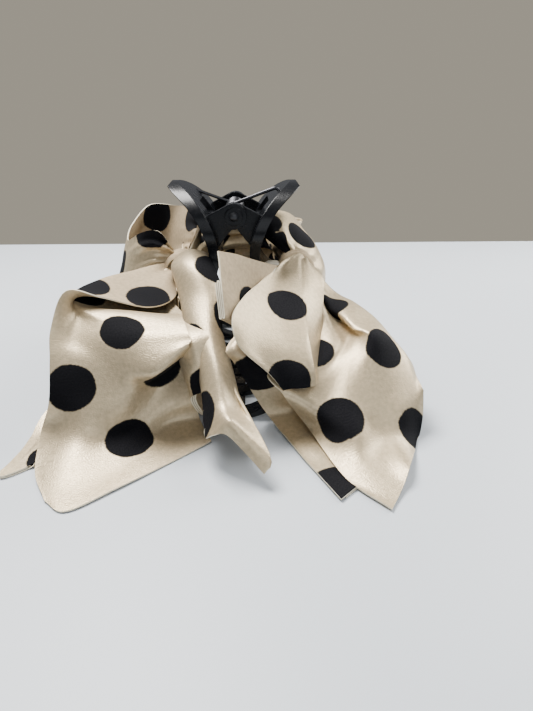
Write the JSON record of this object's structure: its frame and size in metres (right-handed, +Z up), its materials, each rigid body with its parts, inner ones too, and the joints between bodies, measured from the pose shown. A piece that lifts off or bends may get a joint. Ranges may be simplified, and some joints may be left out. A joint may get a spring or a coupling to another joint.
{
  "type": "hair bow claw clip",
  "caption": "Sprung two-jaw hair claw carrying a split ribbon bow, half glued to each jaw, with loops behind and long tails in front.",
  "frame": {"origin": "centre of the bounding box at its base, the surface the teeth's tips and the tails rest on", "axes": "+Z up out of the table, +Y along the hinge, away from the bow's tails and towards its loops, +X towards the right jaw"},
  "size_m": [0.104, 0.1356, 0.0583],
  "materials": {
    "black_plastic": "moulded, satin gloss",
    "pin_metal": "black oxide",
    "spring_wire": "black steel wire",
    "dotted_satin": "cream satin with black dots, matt back",
    "thread": "twisted polyester",
    "glue": "hot-melt, semi-gloss"
  },
  "bodies": {
    "left": {"left_jaw": "black_plastic", "hinge_pin": "pin_metal", "torsion_spring": "spring_wire", "left_loop_upper": "dotted_satin", "left_loop_lower": "dotted_satin", "left_tail_wide": "dotted_satin", "left_tail_rolled": "dotted_satin", "left_tail_tucked": "dotted_satin", "left_tail_back": "dotted_satin", "left_knot_wrap": "dotted_satin", "left_gather_thread": "thread", "left_glue_pad": "glue"},
    "right": {"right_jaw": "black_plastic", "right_loop_upper": "dotted_satin", "right_loop_lower": "dotted_satin", "right_tail_front": "dotted_satin", "right_tail_inner": "dotted_satin", "right_tail_wide": "dotted_satin", "right_tail_under": "dotted_satin", "right_knot_wrap": "dotted_satin", "right_gather_thread": "thread", "right_glue_pad": "glue"}
  },
  "joints": [
    {"name": "clip_hinge", "type": "hinge", "parent": "left", "child": "right", "pos_m": [0.002, 0.0113, 0.05], "axis": [0, -1, 0], "range_deg": [0, 60], "stiffness_Nm_per_rad": 0.15, "springref_deg": -40.11, "deforming": ["torsion_spring"]}
  ]
}
